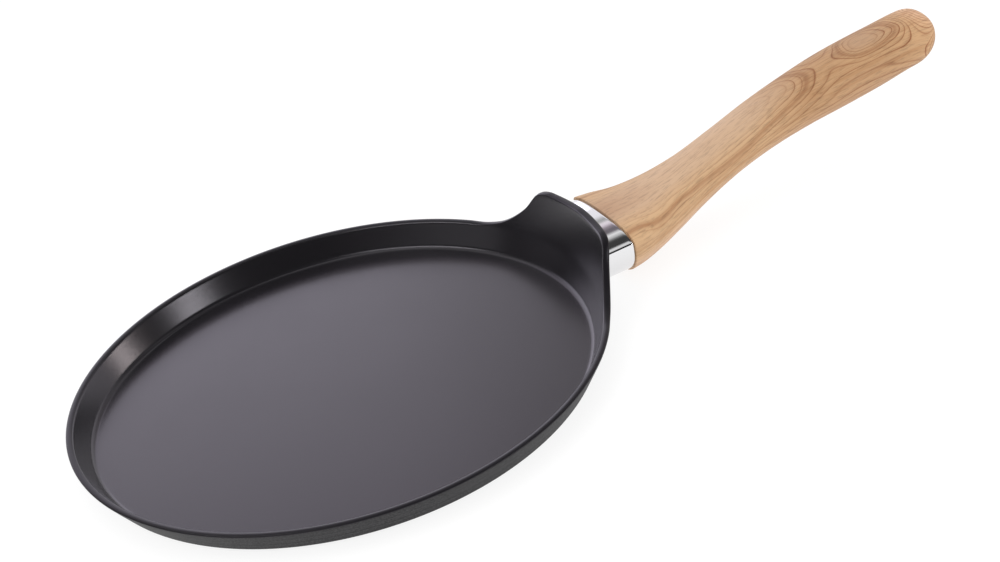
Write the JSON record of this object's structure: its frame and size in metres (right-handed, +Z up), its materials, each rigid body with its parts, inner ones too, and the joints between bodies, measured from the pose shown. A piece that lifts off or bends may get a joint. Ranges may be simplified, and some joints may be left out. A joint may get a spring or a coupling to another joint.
{
  "type": "crepe pan",
  "caption": "Low round crepe pan with a raised wall at the handle, a metal ferrule and a waisted wooden handle held by a screw.",
  "frame": {"origin": "centre of the base's underside", "axes": "+X along the handle away from the pan, +Z up out of the pan"},
  "size_m": [0.4321, 0.2398, 0.0573],
  "materials": {
    "coated_aluminium": "cast aluminium with a dark grey non-stick coat, semi-gloss inside, fine speckle outside",
    "disc_steel": "stainless steel with turned rings",
    "ferrule_chrome": "polished chrome plate",
    "handle_wood": "light oiled wood with brown grain lines",
    "fixing_steel": "zinc-bright steel"
  },
  "bodies": {
    "root": {"pan_body": "coated_aluminium", "base_disc": "disc_steel", "thread_insert": "fixing_steel", "ferrule": "ferrule_chrome", "handle": "handle_wood", "flat_washer": "fixing_steel", "spring_washer": "fixing_steel", "handle_screw": "fixing_steel"}
  },
  "joints": []
}
